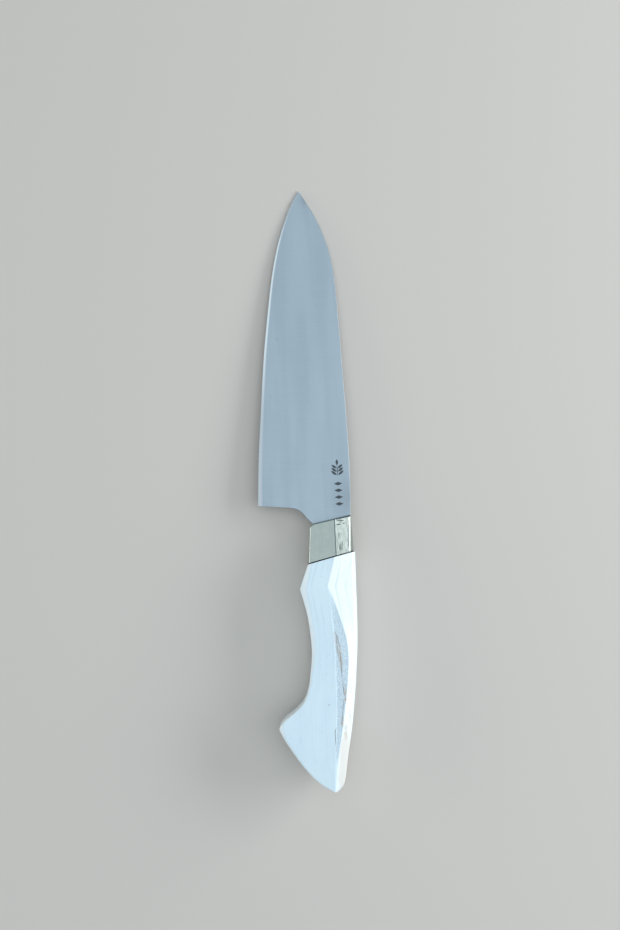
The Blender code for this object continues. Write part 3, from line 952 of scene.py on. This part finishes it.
def natural_share(point, place):
    """How much of the bone's natural surface is left at a point of the section."""
    on_strip = smoothstep(2.0, 2.08, place) * (1 - smoothstep(2.9, 3.0, place))
    behind_guard = smoothstep(GUARD_Y - 1, GUARD_Y - 14, point.y)
    before_butt = smoothstep(-126, -118, point.y)
    return on_strip * behind_guard * before_butt


def lit_facet_share(point, place):
    """1 on the facets along the spine and the belly, which are painted whiter as painted light, 0 on
    the side's flat.
    """
    fade = 0.25 + 0.1 * max(point.y - GUARD_Y, 0.0)
    border = split_along(FLAT_TOP_FRONT, FLAT_TOP, point.y)
    if point.y < GUARD_Y:
        border = split_along(FACET_FRONT, FACET, point.y)
    return smoothstep(border - fade, border + fade, point.x) + smoothstep(3.97, 4.1, place)


def relief(point, natural, seed):
    """How far the natural surface lies below its facet at a point."""
    spot = Vector((point.x * 1.1, point.y * 0.8, seed))
    pits = smoothstep(0.1, 0.6, noise.noise(spot * 1.6))
    waves = 0.5 + 0.5 * noise.noise(spot * 0.3)
    return natural * (PORE_DEPTH * pits + WAVE_DEPTH * waves)


def stations():
    """Where the handle's rows lie, closer together at the guard ridge and round the butt."""
    places = [BONE_FRONT_Y + BONE_REACH]
    while places[-1] > BUTT_Y:
        y = places[-1]
        to_guard = abs(y - GUARD_Y)
        step = STATION_STEP if to_guard > 1.5 else STATION_STEP * 0.6
        if y < BUTT_ROUND_Y:
            step = max(0.04, (y - BUTT_Y) * 0.09)
        following = y - step
        if y > GUARD_Y > following:
            following = GUARD_Y
        places.append(following)
    places[-1] = BUTT_Y
    return places


def build_handle_half(name, node, side, seed, material):
    """One bone slab: side is 1 on the left, which lies uppermost, and -1 on the right."""
    rows, shares, lit_facet_shares, grains = [], [], [], []
    for station in stations():
        row = []
        for point, place in station_columns(station):
            natural = natural_share(point, place)
            z = point.z - relief(point, natural, seed)
            row.append((point.x, point.y, side * z))
            shares.append(natural)
            lit_facet_shares.append(lit_facet_share(point, place))
            belly = max(split_along(BELLY_FRONT, BELLY, point.y), GRAIN_FLOOR_X)
            grains += [point.x - belly * GRAIN_FOLLOWS, point.y, side * point.z + seed]
        rows.append(row)

    bm = bmesh.new()
    grid = [[bm.verts.new(p) for p in row] for row in rows]
    for row, following in zip(grid, grid[1:]):
        for a, b, c, d in zip(row, row[1:], following[1:], following):
            bm.faces.new((a, b, c, d))
        bm.faces.new((row[-1], row[0], following[0], following[-1]))
    bm.faces.new(grid[0])
    bm.faces.new(grid[-1])
    values = {"natural": shares, "outer": lit_facet_shares}
    half = object_from(bm, name, material, [node], values=values)
    layer = half.data.attributes.new("grain", "FLOAT_VECTOR", "POINT")
    layer.data.foreach_set("vector", grains)
    return half


def build_liner():
    """The thin black liner between the bolster and the bone."""
    back = BONE_FRONT_Y + BONE_REACH + LINER_GAP
    front = BOLSTER_BACK_Y - BOLSTER_REACH - LINER_GAP
    rings = []
    for y_at_zero in (front, back):
        half = [p for p, _ in station_columns(BONE_FRONT_Y, LINER_RECESS, seam=0.5)]
        upper = [(p.x, y_at_zero + BACK_CANT * p.x, p.z) for p in half]
        lower = [(x, y, -z) for x, y, z in reversed(upper)]
        rings.append(upper + lower)
    return object_from(loft(rings), "liner_fibre", fibre_material(), ["spacer"])


def dress_bedding():
    """The epoxy in the handle is hidden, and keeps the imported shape."""
    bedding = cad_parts["tang_bedding"]
    bedding.data.materials.clear()
    bedding.data.materials.append(epoxy_material())


# ---------------------------------------------------------------- stage, light and camera


def build_floor():
    bm = bmesh.new()
    bmesh.ops.create_grid(bm, x_segments=1, y_segments=1, size=FLOOR_SIZE / 2)
    mesh = bpy.data.meshes.new("floor")
    bm.to_mesh(mesh)
    bm.free()
    mesh.materials.append(floor_material())
    floor = bpy.data.objects.new("floor", mesh)
    bpy.context.scene.collection.objects.link(floor)


def add_area_light(name, place, size, power, colour):
    """A soft rectangular light that faces the knife."""
    light = bpy.data.lights.new(name, "AREA")
    light.shape = "RECTANGLE"
    light.size, light.size_y = size
    light.energy = power
    light.color = colour
    obj = bpy.data.objects.new(name, light)
    obj.location = place
    obj.rotation_euler = (-Vector(place)).to_track_quat("-Z", "Y").to_euler()
    bpy.context.scene.collection.objects.link(obj)


def build_light():
    add_area_light("window", (1.3, 0.2, 0.45), (1.2, 0.45), 14.5, (0.96, 0.99, 1.0))
    add_area_light("far_window", (-1.25, 0.0, 0.26), (1.4, 0.4), 4.4, (1.0, 0.98, 0.94))
    add_area_light("skylight", (0.78, -0.21, 1.15), (1.0, 1.0), 3.0, (0.88, 0.96, 1.0))
    add_area_light("ceiling", (-0.15, 0.1, 1.5), (2.2, 2.2), 6.6, (0.84, 0.95, 1.0))
    world = bpy.data.worlds.new("room")
    bpy.context.scene.world = world
    world.use_nodes = True
    background = world.node_tree.nodes["Background"]
    background.inputs["Color"].default_value = (0.83, 0.93, 1.0, 1.0)
    background.inputs["Strength"].default_value = 0.44


def build_camera():
    """Almost straight above, at the distance and angle of the photograph."""
    camera = bpy.data.cameras.new("camera")
    camera.lens = CAMERA_LENS
    camera.sensor_width = SENSOR
    camera.clip_start = 0.01
    obj = bpy.data.objects.new("camera", camera)
    corner = rest_matrix().translation
    obj.location = (corner.x + CAMERA_X * MM, corner.y + CAMERA_Y * MM, CAMERA_HEIGHT * MM)
    obj.rotation_euler = (CAMERA_TILT, 0, CAMERA_TURN)
    bpy.context.scene.collection.objects.link(obj)
    bpy.context.scene.camera = obj


def main():
    build_blade()
    build_etched_mark()
    build_bolster()
    bone = bone_material()
    build_handle_half("bone_left", "handle_half_left", 1, 3.0, bone)
    build_handle_half("bone_right", "handle_half_right", -1, 41.0, bone)
    build_liner()
    dress_bedding()
    build_floor()
    build_light()
    build_camera()
    bpy.context.scene.view_settings.view_transform = "Standard"


main()
